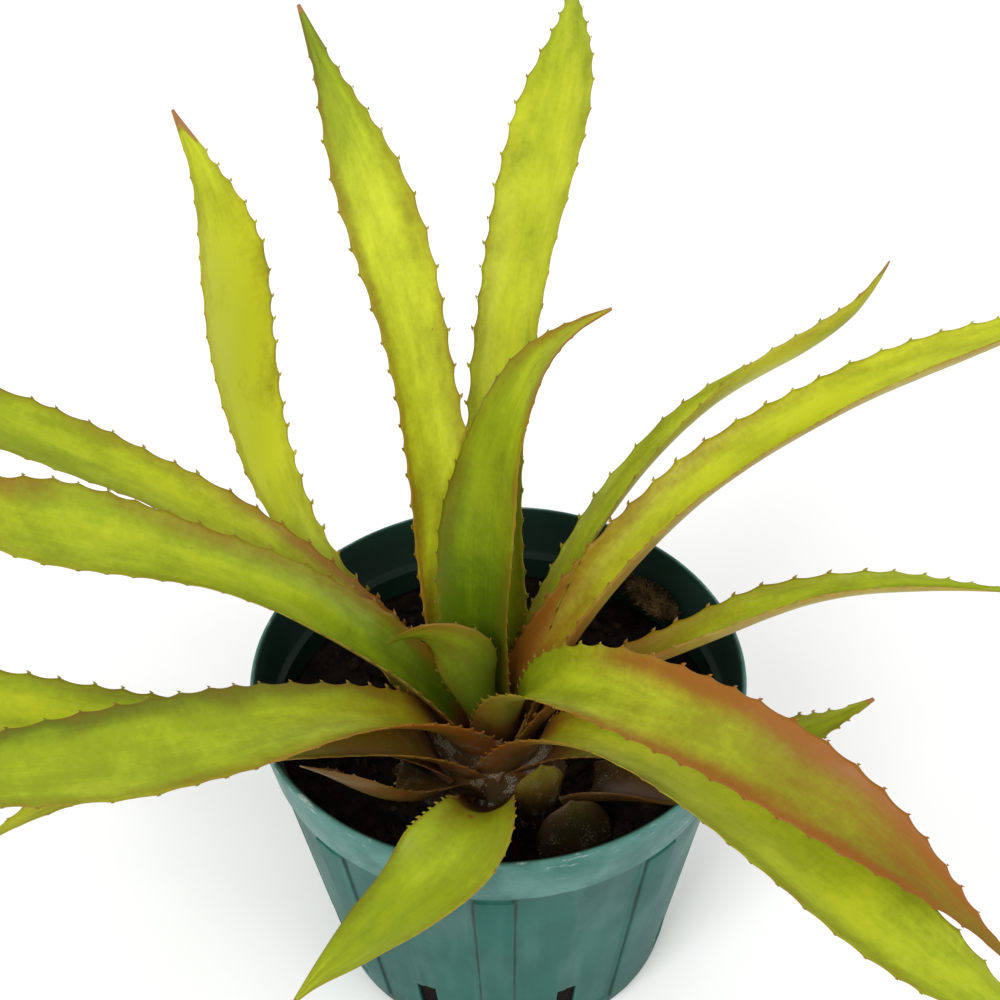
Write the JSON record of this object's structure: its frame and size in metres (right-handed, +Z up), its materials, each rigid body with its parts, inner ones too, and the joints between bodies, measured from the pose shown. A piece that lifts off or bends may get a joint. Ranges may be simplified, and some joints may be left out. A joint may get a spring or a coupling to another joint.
{
  "type": "potted bromeliad",
  "caption": "Spine-edged bromeliad rosette with long arching channelled leaves, growing in a round tapered plastic nursery pot of potting mix.",
  "frame": {"origin": "middle of the pot's foot, on the surface it stands on", "axes": "+Z up along the pot's axis; -Y is the front, where the leaf that hangs over the rim is; +X is the right-hand side seen from the front"},
  "size_m": [0.4823, 0.392, 0.3658],
  "materials": {
    "pot_plastic": "teal-green moulded plastic, chalky and lightly scuffed at the rim",
    "mix": "dark damp potting mix with brown crumbs",
    "moss": "dry brown moss",
    "leaf": "semi-gloss yellow-green leaf with orange-red margins and fine long veins",
    "old_leaf": "dry red-brown old leaf with grey scurf",
    "sheath": "brown fibrous stem"
  },
  "bodies": {
    "root": {"nursery_pot": "pot_plastic", "potting_mix": "mix", "stem": "sheath", "moss_tuft": "moss", "heart_leaf": "leaf", "centre_leaf": "leaf", "upper_front_right_leaf": "leaf", "near_left_leaf": "leaf", "upper_right_leaf": "leaf", "back_left_leaf": "leaf", "right_leaf": "leaf", "front_left_leaf": "leaf", "back_leaf": "leaf", "lower_front_right_leaf": "leaf", "far_left_leaf": "leaf", "narrow_right_leaf": "leaf", "outer_back_left_leaf": "leaf", "hanging_front_leaf": "leaf", "short_right_leaf": "leaf", "lower_left_leaf": "leaf", "outer_left_leaf": "leaf", "old_front_right_leaf": "old_leaf", "old_front_left_leaf": "old_leaf", "old_front_sheath": "old_leaf", "old_outer_sheath": "old_leaf"}
  },
  "joints": []
}
